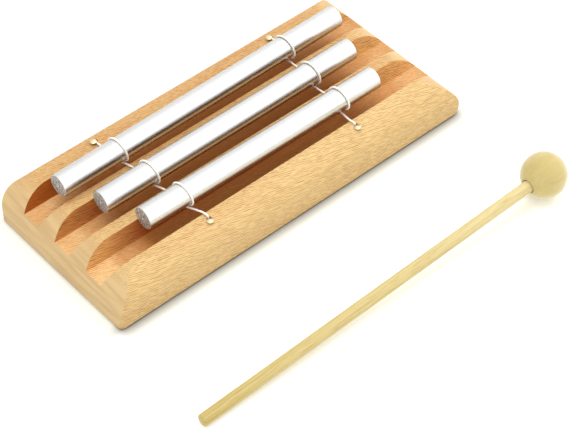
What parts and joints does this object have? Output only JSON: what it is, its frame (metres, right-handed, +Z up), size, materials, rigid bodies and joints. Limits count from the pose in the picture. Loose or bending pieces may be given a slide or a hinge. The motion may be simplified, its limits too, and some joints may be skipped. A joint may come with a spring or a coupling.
{
  "type": "chime bar",
  "caption": "Tuned aluminium chime rods lashed by elastic cords across a channelled wooden block, with a wooden mallet to strike them.",
  "frame": {"origin": "middle of the block's flat underside", "axes": "+X along the rods, +Y to the back rail, +Z up"},
  "size_m": [0.2518, 0.1935, 0.0414],
  "materials": {
    "block_wood": "oiled beech, satin",
    "rod_aluminium": "drawn bar, satin polish, anodised",
    "white_cord": "white braid over elastic",
    "nail_nickel": "bright nickel plate",
    "mallet_stick_wood": "bare sanded pale wood",
    "mallet_head_wood": "bare sanded pale wood"
  },
  "bodies": {
    "base": {"base_block": "block_wood", "cord_left": "white_cord", "cord_right": "white_cord", "nail_back_left": "nail_nickel", "nail_back_right": "nail_nickel", "nail_front_left": "nail_nickel", "nail_front_right": "nail_nickel"},
    "long_rod": {"rod_long": "rod_aluminium"},
    "middle_rod": {"rod_middle": "rod_aluminium"},
    "short_rod": {"rod_short": "rod_aluminium"},
    "mallet": {"mallet_stick": "mallet_stick_wood", "mallet_head": "mallet_head_wood"}
  },
  "joints": [
    {"name": "long_rod_bounce", "type": "slide", "parent": "base", "child": "long_rod", "axis": [0, 0, 1], "range_m": [-0.003, 0.002], "stiffness_N_per_m": 600, "springref_m": 0.00121, "deforming": ["cord_left", "cord_right"]},
    {"name": "middle_rod_bounce", "type": "slide", "parent": "base", "child": "middle_rod", "axis": [0, 0, 1], "range_m": [-0.003, 0.002], "stiffness_N_per_m": 600, "springref_m": 0.00108, "deforming": ["cord_left", "cord_right"]},
    {"name": "short_rod_bounce", "type": "slide", "parent": "base", "child": "short_rod", "axis": [0, 0, 1], "range_m": [-0.003, 0.002], "stiffness_N_per_m": 600, "springref_m": 0.00098, "deforming": ["cord_left", "cord_right"]},
    {"name": "mallet_lift", "type": "slide", "parent": "base", "child": "mallet", "axis": [0, 0, 1], "range_m": [0, 0.08]}
  ]
}
